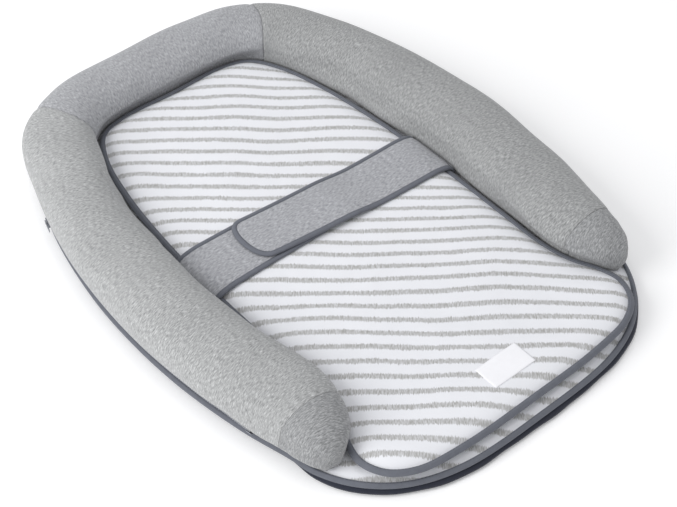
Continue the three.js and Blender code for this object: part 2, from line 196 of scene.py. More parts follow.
def grid(name, points, material, round_u=False, round_v=False, uv=None, merge=False):
    """A piece from a grid of points, closed round either way; uv then has one more row or column."""
    n, m = points.shape[:2]
    rows, columns = n + round_u, m + round_v
    if uv is None:
        around = np.concatenate([points, points[:1]]) if round_u else points
        around = np.concatenate([around, around[:, :1]], 1) if round_v else around
        uv = around[:, :, :2] * MM
    i, j = np.meshgrid(np.arange(rows - 1), np.arange(columns - 1), indexing="ij")
    corners = [(i, j), (i + 1, j), (i + 1, j + 1), (i, j + 1)]
    faces = np.stack([((a % n) * m + b % m).ravel() for a, b in corners], 1)
    picks = np.stack([(a * columns + b).ravel() for a, b in corners], 1)
    return piece(name, points.reshape(-1, 3), faces, material, uv.reshape(-1, 2)[picks.ravel()], merge)


def closed(name, points, material):
    """A piece from rings whose first and last are flat or shut."""
    return grid(name, points, material, round_v=True, merge=True)


def uv_grid(u, v):
    """uv in metres from distances along the rows and columns of a grid."""
    return np.stack(np.meshgrid(u, v, indexing="ij"), 2) * MM


def rings(layers):
    """Stacks (loop, height) pairs into a grid of points."""
    return np.stack([np.column_stack([loop, np.broadcast_to(z, len(loop))]) for loop, z in layers])


def finish_piece(thing, body, stands_for=(), crossing=None):
    """The piece rides on the body; given a crossing, it is not attached and only its transform is baked into
    its points (the crossing's two points are not used).
    """
    if crossing:
        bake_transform(thing)
    else:
        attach(thing, body)
    if stands_for:
        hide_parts(*stands_for)
    return thing


# ---------- materials ----------
class Shade:
    """A procedural material with short ways to add its nodes."""

    def __init__(self, name, **settings):
        self.material = bpy.data.materials.new(name)
        self.material.use_nodes = True
        self.tree = self.material.node_tree
        self.surface = self.tree.nodes["Principled BSDF"]
        for socket, value in settings.items():
            self.surface.inputs[socket.replace("_", " ")].default_value = value

    def node(self, kind, *values, **options):
        made = self.tree.nodes.new(kind)
        for key, value in options.items():
            setattr(made, key, value)
        for k, value in enumerate(values):
            if value is not None:
                self.set(made.inputs[k], value)
        return made

    def set(self, socket, value):
        if isinstance(value, bpy.types.NodeSocket):
            self.tree.links.new(value, socket)
        else:
            socket.default_value = value

    def math(self, operation, *values):
        return self.node("ShaderNodeMath", *values, operation=operation).outputs[0]

    def add(self, first, second):
        return self.math("ADD", first, second)

    def times(self, first, second):
        return self.math("MULTIPLY", first, second)

    def place(self, source="cloth"):
        """The cloth's own coordinates, in metres."""
        if source == "cloth":
            return self.node("ShaderNodeUVMap", uv_map="cloth").outputs[0]
        return self.node("ShaderNodeTexCoord").outputs["Object"]

    def axes(self):
        return self.node("ShaderNodeSeparateXYZ", self.place()).outputs[:2]

    def stretch(self, place, *scale):
        return self.node("ShaderNodeMapping", place, None, None, scale, vector_type="POINT").outputs[0]

    def noise(self, place, detail=2.0, roughness=0.5, seed=0.0):
        made = self.node("ShaderNodeTexNoise", noise_dimensions="4D")
        self.set(made.inputs["Vector"], place)
        for socket, value in (("W", seed), ("Scale", 1.0), ("Detail", detail), ("Roughness", roughness)):
            made.inputs[socket].default_value = value
        return made.outputs[0]

    def ramp(self, value, *stops):
        made = self.node("ShaderNodeValToRGB", value)
        elements = made.color_ramp.elements
        while len(elements) < len(stops):
            elements.new(0.5)
        for element, (position, colour) in zip(elements, stops):
            element.position = position
            element.color = (*colour, 1)
        return made.outputs[0]

    def mix(self, share, first, second, blend="MIX"):
        made = self.node("ShaderNodeMix", data_type="RGBA", blend_type=blend)
        self.set(made.inputs[0], share)
        self.set(made.inputs[6], first)
        self.set(made.inputs[7], second)
        return made.outputs[2]

    def range(self, value, low, high, to_low=0.0, to_high=1.0, soft=True):
        made = self.node("ShaderNodeMapRange", value, low, high, to_low, to_high,
                         interpolation_type="SMOOTHSTEP" if soft else "LINEAR")
        return made.outputs[0]

    def finish(self, colour, height=None, bump_mm=0.2, roughness=None):
        self.set(self.surface.inputs["Base Color"], colour)
        if roughness is not None:
            self.set(self.surface.inputs["Roughness"], roughness)
        if height is not None:
            bump = self.node("ShaderNodeBump")
            bump.inputs["Strength"].default_value = 1.0
            bump.inputs["Distance"].default_value = bump_mm * MM
            self.set(bump.inputs["Height"], height)
            self.set(self.surface.inputs["Normal"], bump.outputs[0])
        return self.material


def grey(value):
    """Linear colour of an 8-bit grey or (r, g, b)."""
    values = value if isinstance(value, tuple) else (value,) * 3
    return tuple((v / 255) ** 2.2 for v in values)


def shades(colour, *shares):
    """Darker and lighter versions of a colour."""
    return [tuple(min(1.0, v * share) for v in grey(colour)) for share in shares]


def melange_jersey(name, yarns, tint, warp=0.0):
    """Brushed heather jersey: short streaks of dark, middle and light yarn along v, all with one tint."""
    dark, middle, light = (grey(tuple(yarn + t for t in tint)) for yarn in yarns)
    s = Shade(name, Roughness=0.95, Sheen_Weight=0.25, Sheen_Roughness=0.5, Specular_IOR_Level=0.15)
    place = s.place()
    fine = s.noise(s.stretch(place, 1500, 300, 1), 2.5, 0.6, 1.0 + warp)
    coarse = s.noise(s.stretch(place, 900, 170, 1), 2.0, 0.55, 5.0 + warp)
    cloud = s.noise(s.stretch(place, 22, 22, 1), 2.0, 0.5, 9.0 + warp)
    mixed = s.add(s.times(fine, 0.5), s.times(coarse, 0.5))
    yarn = s.ramp(mixed, (0.33, dark), (0.5, middle), (0.67, light))
    colour = s.mix(s.range(cloud, 0.3, 0.7, 0.0, 0.10), yarn, (*dark, 1))
    knit = s.noise(s.stretch(place, 1500, 900, 1), 1.0, 0.5, 3.0)
    height = s.add(knit, s.times(mixed, 0.8))
    return s.finish(colour, height, 0.35)


def striped_jersey(name, white, stripe):
    """White jersey printed with soft, slightly wavy grey stripes that run across the cloth's diagonal."""
    period, half, first, soft = 18.56, 3.1, 229.8, 1.0
    s = Shade(name, Roughness=0.92, Sheen_Weight=0.2, Sheen_Roughness=0.5, Specular_IOR_Level=0.15)
    x, y = s.axes()
    across = s.add(s.times(x, 643.0), s.times(y, 766.0))
    along = s.math("SUBTRACT", s.times(x, 766.0), s.times(y, 643.0))

    def at(across_mm, along_mm, seed, detail=1.0):
        place = s.node("ShaderNodeCombineXYZ", s.math("DIVIDE", across, across_mm),
                       s.math("DIVIDE", along, along_mm)).outputs[0]
        return s.math("SUBTRACT", s.noise(place, detail, 0.5, seed), 0.5)

    off_middle = s.math("ABSOLUTE", s.math("DIVIDE", s.math("SUBTRACT", across, 50.0), 90.0))
    squeeze = s.math("EXPONENT", s.times(-1.0, s.math("POWER", off_middle, 2.0)))
    shifted = s.add(across, s.times(squeeze, 8.0))
    for amount, wave in ((22.0, at(150, 150, 2.0)), (2.0, at(18, 26, 4.0)), (5.5, at(9, 1.2, 6.0)),
                         (3.5, at(5, 0.7, 7.0))):
        shifted = s.add(shifted, s.times(wave, amount))
    phase = s.math("DIVIDE", s.math("SUBTRACT", shifted, first), period)
    centred = s.math("SUBTRACT", s.math("FRACT", s.add(phase, 1000.5)), 0.5)
    distance = s.times(s.math("ABSOLUTE", centred), period)
    mask = s.range(distance, half - soft, half + soft, 1.0, 0.0)
    speckle = s.range(at(6.0, 1.2, 8.0, 2.0), -0.2, 0.2, 0.42, 1.0)
    ink = s.times(mask, speckle)
    shade = s.mix(s.range(at(30, 30, 11.0, 2.0), -0.3, 0.3), (*grey(white), 1),
                  (*(v * 0.965 for v in grey(white)), 1))
    colour = s.mix(ink, shade, (*grey(stripe), 1))
    knit = at(0.75, 0.75, 12.0)
    height = s.add(knit, s.times(mask, 0.12))
    return s.finish(colour, height, 0.3)


def woven(name, colour, scale, contrast, roughness, bump=0.15, sheen=0.15):
    """Plain woven or ribbed tape: two crossing sets of threads."""
    s = Shade(name, Roughness=roughness, Sheen_Weight=sheen, Specular_IOR_Level=0.3)
    u, v = (s.math("SINE", s.times(axis, scale * 6.283)) for axis in s.axes())
    threads = s.add(s.times(s.times(u, v), 0.5), 0.5)
    wear = s.noise(s.stretch(s.place(), 140, 140, 140), 3.0, 0.6, 2.0)
    low, high = shades(colour, 1 - contrast, 1 + contrast)
    mixed = s.add(s.times(threads, 0.35), s.times(wear, 0.65))
    return s.finish(s.ramp(mixed, (0.25, low), (0.75, high)), threads, bump)


def ribbed_tape(name, colour, pitch_mm):
    """Tape with cross ribs along its length, as beside a coil zip."""
    s = Shade(name, Roughness=0.7, Specular_IOR_Level=0.3)
    rib = s.math("SINE", s.times(s.axes()[0], 6283.2 / pitch_mm))
    ribs = s.add(s.times(rib, 0.5), 0.5)
    low, base, high = shades(colour, 0.72, 1, 1.1)
    tint = s.ramp(ribs, (0.1, low), (0.9, high))
    dust = s.noise(s.stretch(s.place(), 300, 300, 1), 2.0, 0.5, 4.0)
    return s.finish(s.mix(s.range(dust, 0.3, 0.7, 0, 0.15), tint, (*base, 1)), ribs, 0.3)


def foam_like(name, colour, cell=500, bump=0.4, source="object"):
    s = Shade(name, Roughness=0.98, Specular_IOR_Level=0.1)
    place = s.place(source)
    cells = s.noise(s.stretch(place, cell, cell, cell), 3.0, 0.6, 1.0)
    low, base = shades(colour, 0.82, 1)
    return s.finish(s.ramp(cells, (0.3, low), (0.7, base)), cells, bump)


def brushed_metal(name, colour):
    s = Shade(name, Metallic=0.85, Roughness=0.35)
    place = s.place("object")
    brush = s.noise(s.stretch(place, 400, 400, 3000), 3.0, 0.6, 1.0)
    low, base = shades(colour, 0.8, 1)
    return s.finish(s.ramp(brush, (0.3, low), (0.7, base)), brush, 0.03,
                    s.range(brush, 0.2, 0.8, 0.25, 0.45, False))


MELANGE = melange_jersey("melange_jersey", (114, 163, 213), (0, 1, 1))
# painted shade: the right arm's panel is the same jersey made darker, standing in for the shade that falls on
# it
MELANGE_RIGHT_SHADED = melange_jersey("melange_jersey_right_painted_shade", (104, 153, 202), (0, 1, 1), 60.0)
MELANGE_HEAD = melange_jersey("melange_jersey_head", (112, 161, 210), (0, 1, 4), 20.0)
# painted shade: the end caps are the same jersey made darker, standing in for the shade on faces turned from
# the light
MELANGE_CAP_SHADED = melange_jersey("melange_jersey_cap_painted_shade", (101, 147, 194), (0, 1, 2), 80.0)
MELANGE_STRAP = melange_jersey("melange_jersey_strap", (114, 163, 210), (0, 1, 5), 40.0)
STRIPED = striped_jersey("striped_jersey", (233, 234, 238), (160, 159, 156))
SLATE = woven("slate_binding", (103, 106, 114), 700, 0.16, 0.7)
NAVY = woven("navy_underside", (44, 47, 58), 500, 0.16, 0.75)
BACKING = woven("mat_backing_cloth", (222, 224, 229), 500, 0.06, 0.7)
LABEL_CLOTH = woven("label_satin", (243, 243, 246), 1400, 0.03, 0.55, 0.05, 0.05)
THREAD = woven("sewing_thread", (82, 86, 95), 2500, 0.1, 0.6)
FOAM = foam_like("foam", (240, 236, 220))
FILLING = foam_like("fibre_filling", (246, 246, 243), 260, 0.8)
LOOPS = foam_like("loop_patch", (198, 200, 204), 1400, 0.5, "cloth")
HOOKS = foam_like("hook_patch", (186, 188, 193), 1800, 0.6, "cloth")
ZIP_TAPE = ribbed_tape("zip_tape_cloth", (176, 178, 183), 2.4)
ZIP_COIL = woven("zip_coil_nylon", (140, 143, 150), 1500, 0.1, 0.45, 0.02, 0.0)
METAL = brushed_metal("zip_metal", (150, 153, 160))


# ---------- base ----------
LOOP_COUNT = 480
base_loop = even_loop(
    BASE_HEAD + [(side_x(BASE_SIDE_RADIUS, y), y) for y in BASE_SIDE_Y] + BASE_FOOT, LOOP_COUNT)
foot_share = smooth(-base_loop[:, 1], 210, 300)  # 0 along the sides and 1 round the foot
foot_ripple = np.sin(base_loop[:, 0] / 19 + 0.8) * 0.6 + np.sin(base_loop[:, 0] / 7.3) * 0.25


def cover_grid(loop, spine, insets, height, thick, wave=None, shares=18):
    """A thin cloth over a padded loop: upper face from the spine to the rim, then the lower face back."""
    inner = inset_loop(loop, insets[-1])
    upper = [(inset_loop(loop, r), height(r)) for r in insets]
    upper += [(spine_loop(inner, share, spine), height(insets[-1] + 60 * share))
              for share in np.linspace(0, 1, shares + 1)[1:]]
    if wave:
        upper = [(ring, z + wave(ring)) for ring, z in upper]
    return rings(upper[::-1] + [(ring, z - thick) for ring, z in upper])


def plate_grid(loop, spine, inset, low, high, edge=1.5, shares=6):
    """A flat padded plate between two heights with a rounded rim."""
    middle = (low + high) / 2
    inner = inset_loop(loop, inset + edge)
    shut = [spine_loop(inner, share, spine) for share in np.linspace(1, 0, shares + 1)]
    rim = [(inset_loop(loop, inset + edge * (1 - math.cos(a))), middle + (high - low) / 2 * math.sin(a))
           for a in np.linspace(math.pi / 2, -math.pi / 2, 9)]
    flat = shut[:-1]
    return rings([(ring, high) for ring in flat] + rim + [(ring, low) for ring in flat[::-1]])


def bound_edge(name, loop, profile, material):
    """A binding: its section, given as (inset, height) pairs, is carried round the loop."""
    points = rings([(inset_loop(loop, inset), z) for inset, z in profile])
    round_loop = lengths(np.vstack([loop, loop[:1]]))
    round_section = lengths(np.array(profile + profile[:1], float))
    uv = np.stack(np.meshgrid(round_loop, round_section), axis=2) * MM
    return grid(name, points, material, True, True, uv=uv)


def c_section(low, high, cover, tape, out=0.0, swell=0.5):
    """Section of a folded binding: round outside, open towards the cloth that it holds."""
    tall = high - low
    outside = [(cover, high - 0.15), (cover * 0.8, high + swell), (cover * 0.45, high + swell * 0.8),
               (2.2 - out, high - 0.4), (0.7 - out, high - 0.22 * tall), (-out, low + 0.5 * tall),
               (0.7 - out, low + 0.22 * tall), (2.2 - out, low + 0.4), (cover * 0.45, low), (cover, low)]
    inside = [(cover, low + tape), (2.6, low + tape + 0.3), (1.6, low + 0.5 * tall),
              (2.6, high - tape - 0.7), (cover, high - tape - 0.2)]
    return outside + inside


def prism_faces(first, sides, layers):
    """Faces of a stack of rings with both ends closed; first is its first vertex."""
    faces = []
    for k in range(layers - 1):
        low, high = first + sides * k, first + sides * (k + 1)
        faces += [[low + i, low + (i + 1) % sides, high + (i + 1) % sides, high + i] for i in range(sides)]
    last = first + sides * (layers - 1)
    for i in range(1, sides - 1, 2):
        faces.append([first, first + i + 2, first + i + 1, first + i])
        faces.append([last, last + i, last + i + 1, last + i + 2])
    return faces


# a stitch's rings: share of its length, share of the thread's radius, and depth in millimetres
STITCH_RINGS = ((0, 0.25, 0.3), (0.18, 0.9, 0.05), (0.5, 1, 0), (0.82, 0.9, 0.05), (1, 0.25, 0.3))


def stitch_line(name, path, material, pitch=3.4, long=2.3, radius=0.34, drop=0.05):
    """Separate thread stitches along a polyline."""
    path = np.asarray(path, float)
    along = lengths(path)
    count = int(along[-1] / pitch)
    starts = (np.arange(count) + 0.5) * along[-1] / count
    sides, layers = 6, len(STITCH_RINGS)
    angles = np.linspace(0, 2 * math.pi, sides, endpoint=False)
    points, faces = [], []
    for start in starts:
        span = [start - long / 2, start + long / 2]
        ends = np.array([np.interp(span, along, path[:, k]) for k in range(3)]).T
        forward = unit(ends[1] - ends[0])
        across = unit(np.cross(forward, (0, 0, 1)))
        up = np.cross(across, forward)
        faces += prism_faces(len(points), sides, layers)
        for share, fat, sink in STITCH_RINGS:
            middle = ends[0] + forward * share * long - up * (sink + drop)
            points += [middle + radius * fat * (math.cos(a) * across + math.sin(a) * up) for a in angles]
    wall = [(k + dk, (i + di) % sides) for k in range(layers - 1) for i in range(sides)
            for dk, di in ((0, 0), (0, 1), (1, 1), (1, 0))]
    uv = np.concatenate([np.array(wall) * (0.0006, 0.0003), np.zeros((4 * (sides - 2), 2))])
    return piece(name, points, np.array(faces), material, np.tile(uv, (count, 1)))


def base_height(r):
    return 11.2 + 4.0 * (1 - math.exp(-max(0, r - 8) / 5.0))


base_insets = [3.9, 5, 6.5, 8, 9, 10, 11, 12, 13.5, 15, 17, 19, 22, 26]
base_cover = cover_grid(base_loop, BASE_SPINE, base_insets, base_height, 1.1, lambda _: -0.05)
base_top = closed("base_top_cloth", base_cover, STRIPED)
finish_piece(base_top, "base", ["base_top_cover"])

base_foam = closed("base_foam", plate_grid(base_loop, BASE_SPINE, 14, 1.8, 13.2, 3.0), FOAM)
finish_piece(base_foam, "base", ["base_foam_core"])

base_edge = bound_edge("base_edge_binding", base_loop, c_section(*BASE_EDGE, 5.6, 0.8, 0.2, 0.6), SLATE)
finish_piece(base_edge, "base", ["base_binding"])

puff = foot_share * (5.8 + foot_ripple)
# insets and heights of the turned-up rim, which puffs out at the foot
under_rim = [(5.0, 8.6), (3.0, 7.2), (3.0 - puff * 0.8, 5.6), (4.4 - puff * 1.2, 3.2),
             (7.0 - puff * 1.1, 0.9), (12, 0.05)]
under_layers = [(inset_loop(base_loop, inset), z) for inset, z in under_rim]
under_inner = inset_loop(base_loop, 20)
under_layers += [(spine_loop(under_inner, share, BASE_SPINE), 0.0) for share in np.linspace(0, 1, 9)]
under_points = rings(under_layers)
under_inward = under_points + (0, 0, 1.0)
for k, (ring, _) in enumerate(under_layers[:len(under_rim)]):
    under_inward[k, :, :2] = inset_loop(ring, 1.0)
base_under = closed("base_under_cloth", np.concatenate([under_points[::-1], under_inward]), NAVY)
finish_piece(base_under, "base", ["base_underside"])

base_stitch_line = rings([(inset_loop(base_loop, 4.3), BASE_EDGE[1] + 0.62)])[0]
finish_piece(stitch_line("base_edge_stitches", base_stitch_line, THREAD), "base")

# ---------- bolster ----------
right_half = (HEAD_STATIONS + CORNER_STATIONS
              + [(side_x(BOLSTER_RADIUS, y), y, 45, BOLSTER_TOP) for y in SIDE_STATION_Y]
              + END_STATIONS + CAP_STATIONS)
LAST = len(right_half) - 1
all_stations = [(-x, y, w, t) for x, y, w, t in right_half[:0:-1]] + right_half
centre_curve = curve([(x, y) for x, y, _, _ in all_stations])
size_curve = curve([(w, t) for _, _, w, t in all_stations])

station_table = np.linspace(-LAST, LAST, 8001)
centre_table = centre_curve((station_table + LAST) / (2 * LAST))
length_table = lengths(centre_table)


def length_at(station):
    return np.interp(station, station_table, length_table)


def station_at(length):
    return np.interp(length, length_table, station_table)


mat_loop = even_loop(MAT_OUTLINE, LOOP_COUNT)
mat_loop_dense = even_loop(MAT_OUTLINE, 1600)
AROUND = 96
ANGLES = np.linspace(0, 2 * math.pi, AROUND, endpoint=False)


def frame_at(stations):
    at = (np.asarray(stations, float) + LAST) / (2 * LAST)
    ahead, behind = centre_curve(np.minimum(at + 1e-4, 1)), centre_curve(np.maximum(at - 1e-4, 0))
    along = unit(ahead - behind)
    centre, size = centre_curve(at), size_curve(at)
    # beside the head corners the inner side draws back while the outer side stays in place
    slim = 6.0 * smooth(np.abs(stations), 2.3, 3.5) * np.exp(-(((centre[:, 1] - 160) / 72) ** 2))
    return centre + leftwards(along) * slim[:, None], along, size - slim[:, None] * (1, 0)


def room_to_mat(stations):
    """Room from the bolster's middle line straight inwards to the mat's edge, less the band there."""
    centre, along, _ = frame_at(stations)
    away = mat_loop_dense[None] - centre[:, None]
    ahead = (away * along[:, None]).sum(2)
    inwards = -(away * leftwards(along)[:, None]).sum(2)
    inwards = np.where((np.abs(ahead) < 4) & (inwards > 0), inwards, 70)
    band = 1 - smooth(np.abs(centre[:, 1] + 4), 46, 60)
    return inwards.min(1) - 1.6 - 5.0 * band


def outer_fullness(stations):
    """How far the outer lower quarter swells over the base's edge, more towards the blunt ends."""
    y = np.interp(stations, station_table, centre_table[:, 1])
    arm = smooth(np.abs(stations), 3.2, 4.4)
    return arm * 5.5 * smooth(-y, 130, 200) * (1 - 0.4 * smooth(-y, 250, 270))


def tube(stations, inset):
    """Rings of the bolster's surface: stations and inset hold one number for each ring and angle."""
    stations = np.broadcast_to(np.reshape(stations, (len(stations), -1)), (len(stations), AROUND))
    shape = stations.shape
    centre, along, size = (part.reshape(*shape, 2) for part in frame_at(stations.ravel()))
    inset = np.broadcast_to(inset, shape)
    c, s = np.cos(ANGLES)[None], np.sin(ANGLES)[None]
    power = np.where((s < -1e-9) & (c > 1e-9), 2 / 3, 1.0)
    side = np.sign(c) * np.abs(c) ** power * (size[..., 0] - inset)
    reach = np.where(s > 0, size[..., 1] - BOLSTER_MIDDLE, BOLSTER_DROP)
    rise = np.sign(s) * np.abs(s) ** power * (reach - inset)
    z = BOLSTER_MIDDLE + rise
    fullness = outer_fullness(stations) * (1 - smooth(z, 24, BOLSTER_MIDDLE))
    side = side + np.where((c > 1e-9) & (s < -1e-9), fullness, 0)
    # the inner lower quarter swells against the mat's edge and flattens on the base
    half = size[..., 0] - inset
    room = np.interp(stations, *room_table)
    full = np.clip(room, half - 10, half + 9) - np.maximum(inset, 0) * 0.5
    turn = np.clip((ANGLES[None] - math.pi) / (math.pi / 2), 0, 1)
    low = BOLSTER_LOW + np.clip(inset, 0, 6)
    waist = 1 - smooth(size[..., 0], 12, 34)  # the narrow ends keep their own section
    sides = [half, half + (full - half) * 0.55, full, full - 0.6, full - 4, full - 14, 0 * full]
    heights = [*(np.full_like(full, z) for z in (BOLSTER_MIDDLE, 35, 28.5, 22)), low + 1.6, low, low]
    soft_side, soft_z = (sum_knots(turn, values) for values in (sides, heights))
    inner_low = (c < 1e-9) & (s < -1e-9)
    side = np.where(inner_low, side * waist - soft_side * (1 - waist), side)
    z = np.where(inner_low, z * waist + soft_z * (1 - waist), z)
    z = np.maximum(z, low)
    return np.dstack([centre + leftwards(along) * side[..., None], z])


def sum_knots(turn, values):
    """Evenly spaced values joined by a smooth curve, for each ring and angle."""
    step = 1 / (len(values) - 1)
    turn = np.broadcast_to(turn, values[0].shape)
    k = np.clip((turn / step).astype(int), 0, len(values) - 2)
    w = turn / step - k
    stack = np.stack([2 * values[0] - values[1], *values, 2 * values[-1] - values[-2]])
    a, b, c, d = (np.take_along_axis(stack, (k + i)[None], 0)[0] for i in range(4))
    t0, t1 = (c - a) / 2, (d - b) / 2
    return hermite(b, c, t0, t1, w)


def around_lengths(points):
    closed = np.concatenate([points, points[:, :1]], 1)
    steps = np.linalg.norm(np.diff(closed, axis=1), axis=2)
    return np.concatenate([np.zeros((len(points), 1)), np.cumsum(steps, 1)], 1)


seam_right, seam_left = length_at(SEAM_STATION), length_at(-SEAM_STATION)
cap_right, cap_left = length_at(CAP_STATION), length_at(-CAP_STATION)
room_stations = np.linspace(-LAST, LAST, 500)
room_values = room_to_mat(room_stations)
room_table = (room_stations, np.convolve(np.pad(room_values, 6, "edge"), np.ones(13) / 13, "valid"))


def slant(length):
    """How far round the bend the outer side of each head seam lies, for each ring and angle."""
    lean = np.exp(-((length - seam_left) / 45) ** 2) - np.exp(-((length - seam_right) / 45) ** 2)
    return 11.0 * lean[:, None] * np.cos(ANGLES)[None]


def swell(length, strength=1.0):
    """Slow unevenness of the stuffing over the upper half, in millimetres outwards."""
    run, turn = length[:, None], ANGLES[None]
    upper = smooth(np.sin(turn), -0.45, 0.25)
    slow = (0.9 * np.sin(run / 58 + 2 * turn + 0.7) + 0.7 * np.sin(run / 31 - turn + 2.1)
            + 0.45 * np.sin(run / 17 + 3 * turn))
    return strength * upper * slow


def pucker(length, seams):
    """How far the cloth is drawn in beside its seams, with small gathers running away from them."""
    turn = ANGLES[None]
    drawn = np.zeros((len(length), AROUND))
    for k, seam in enumerate(seams):
        away = np.abs(length - seam)[:, None]
        gather = (np.sin(23 * turn + 1.7 * k) * 0.5 + np.sin(37 * turn + 0.9 + k) * 0.35
                  + np.sin(11 * turn + 2.3 * k) * 0.5)
        depth = 0.3 if seam in (cap_left, cap_right) else 1.0  # the end caps' seams lie flatter
        drawn += depth * (1.5 * np.exp(-((away / 2.2) ** 1.2)) + 0.7 * np.exp(-away / 13))
        drawn += 0.3 * gather * np.exp(-away / 9)
    return drawn


def panel_lengths(start, end):
    """Ring positions along a panel: close together beside its two seams."""
    long = end - start
    edge = np.array([0, 0.7, 1.5, 2.5, 3.7, 5.2, 7, 9.3, 12, 15.5])
    middle = np.linspace(19, long - 19, int((long - 38) / 4.4))
    return start + np.concatenate([edge, middle, long - edge[::-1]])


def bolster_panel(name, start, end, material, node):
    """One tube of cloth between two seams, its ends tucked in."""
    run = panel_lengths(start + SEAM_GAP, end - SEAM_GAP)
    inset = pucker(run, ALL_SEAMS) - swell(run)
    where = station_at(run[:, None] + slant(run))
    outer = tube(where, inset)
    inner = tube(where, inset + 1.2)
    tuck_a, tuck_b = tube(where[:1], inset[:1] + 2.4), tube(where[-1:], inset[-1:] + 2.4)
    points = np.concatenate([tuck_a, outer, tuck_b, inner[::-1]])
    along = np.concatenate([run[:1] - 2.4, run, run[-1:] + 2.4, run[::-1], run[:1] - 2.4])
    around = around_lengths(points)
    around = np.concatenate([around, around[:1]])
    uv = np.dstack([np.broadcast_to(along[:, None], around.shape), around]) * MM
    panel = grid(name, points, material, True, True, uv=uv)
    finish_piece(panel, "base", [node])


end_right, end_left = length_at(LAST), length_at(-LAST)
ALL_SEAMS = (cap_left, seam_left, seam_right, cap_right)
SEAM_GAP = 0.2

bolster_panel("bolster_head_cloth", seam_left, seam_right, MELANGE_HEAD, "bolster_head_panel")
bolster_panel("bolster_right_cloth", seam_right, cap_right, MELANGE_RIGHT_SHADED, "bolster_right_panel")
bolster_panel("bolster_left_cloth", cap_left, seam_left, MELANGE, "bolster_left_panel")


def bolster_cap(name, start, end, node):
    """A rounded end of the bolster: rings from the seam to the tip, then over the tip to its middle."""
    sign = 1 if end > start else -1
    edge = [SEAM_GAP, 1.0, 1.9, 3.0, 4.4, 6.2, 8.4, 11, 14]
    run = start + sign * np.concatenate([edge, np.linspace(17, abs(end - start), 16)])
    inset = pucker(run, (start,)) - swell(run, 0.6) * smooth(np.abs(run - end), 0, 18)[:, None]
    outer = tube(station_at(run), inset)
    along = frame_at([sign * LAST])[1]
    tip = outer[-1]
    forward = np.array([*(along[0] * sign), 0])
    closing = [tip + (tip.mean(0) - tip) * share + forward * push
               for share, push in ((0.18, 1.5), (0.38, 2.7), (0.6, 3.5), (0.82, 4.0), (1.0, 4.1))]
    outer = np.concatenate([outer, closing])
    inner = tube(station_at(run[:-4]), inset[:-4] + 1.2)
    points = np.concatenate([inner[::-1], outer])
    distance = np.concatenate([run[:-4][::-1], run, end + sign * 4.0 * np.arange(1, 6)])
    around = around_lengths(points)
    uv = np.dstack([np.broadcast_to(distance[:, None], around.shape), around]) * MM
    # the caps use the darker copy of the jersey: painted shade
    made = grid(name, points, MELANGE_CAP_SHADED, False, True, uv=uv, merge=True)
    finish_piece(made, "base", [node])


bolster_cap("bolster_right_cap_cloth", cap_right, end_right, "bolster_right_end_cap")
bolster_cap("bolster_left_cap_cloth", cap_left, end_left, "bolster_left_end_cap")

filling_run = np.linspace(end_left + 12, end_right - 12, 160)
filling_inset = 5.2 + 2.0 * np.exp(-np.min(np.abs(filling_run[:, None] - ALL_SEAMS), 1) / 8)
filling_points = tube(station_at(filling_run), filling_inset[:, None])
first, last = (ring - ring.mean(0) for ring in filling_points[[0, -1]])
shut = [filling_points[0] - first * share for share in (1.0, 0.5)]
shut_end = [filling_points[-1] - last * share for share in (0.5, 1.0)]
filling = closed("bolster_stuffing", np.concatenate([shut, filling_points, shut_end]), FILLING)
finish_piece(filling, "base", ["bolster_filling"])

# ---------- zip along the left arm ----------
left_arm = (station_table > -13) & (station_table < -4.2)


def flank(y, z, off):
    """A point on the left arm's outer flank at height z, standing off the surface."""
    station = np.interp(y, centre_table[left_arm, 1], station_table[left_arm])
    centre, along, size = frame_at(np.atleast_1d(station))
    section = (1 - ((BOLSTER_MIDDLE - z) / BOLSTER_DROP) ** 3) ** (1 / 3)
    side = size[:, 0] * section + off + outer_fullness(station)
    flat = centre + leftwards(along) * side[:, None]
    return np.column_stack([flat, np.broadcast_to(z, len(flat))])


zip_y = np.linspace(ZIP_STOP - 2, ZIP_FROM, 240)
tape_section = [(ZIP_LOW, 0.7), (ZIP_LOW, 1.2), (17.6, 1.75), (18.9, 1.6), (20.0, 1.5), (21.1, 1.6),
                (22.4, 1.75), (ZIP_HIGH, 1.2), (ZIP_HIGH, 0.7), (20.0, 0.7)]
tape_points = np.stack([flank(zip_y, z, off) for z, off in tape_section], 1)
tape_uv = uv_grid(lengths(tape_points[:, 0]), lengths(np.array(tape_section + tape_section[:1])))
tape = grid("zip_tape_band", tape_points, ZIP_TAPE, False, True, uv=tape_uv)
finish_piece(tape, "base", ["zip_tape"])

tooth_points, tooth_faces = [], []
tooth_ring = np.linspace(0, 2 * math.pi, 8, endpoint=False)
tooth_layers = ((18.5, 0.35), (18.9, 0.85), (20.0, 1.0), (21.1, 0.85), (21.5, 0.35))  # height and fatness
for y in np.arange(ZIP_STOP + 5, ZIP_FROM - 20, 2.6):
    tooth_faces += prism_faces(len(tooth_points), 8, len(tooth_layers))
    for z, fat in tooth_layers:
        for a in tooth_ring:
            tooth_points.append(flank(y + 0.95 * fat * math.cos(a), z, 2.55 + 0.75 * fat * math.sin(a))[0])
coil = piece("zip_teeth", tooth_points, np.array(tooth_faces), ZIP_COIL, np.zeros((len(tooth_faces) * 4, 2)))
finish_piece(coil, "base", ["zip_coil"])


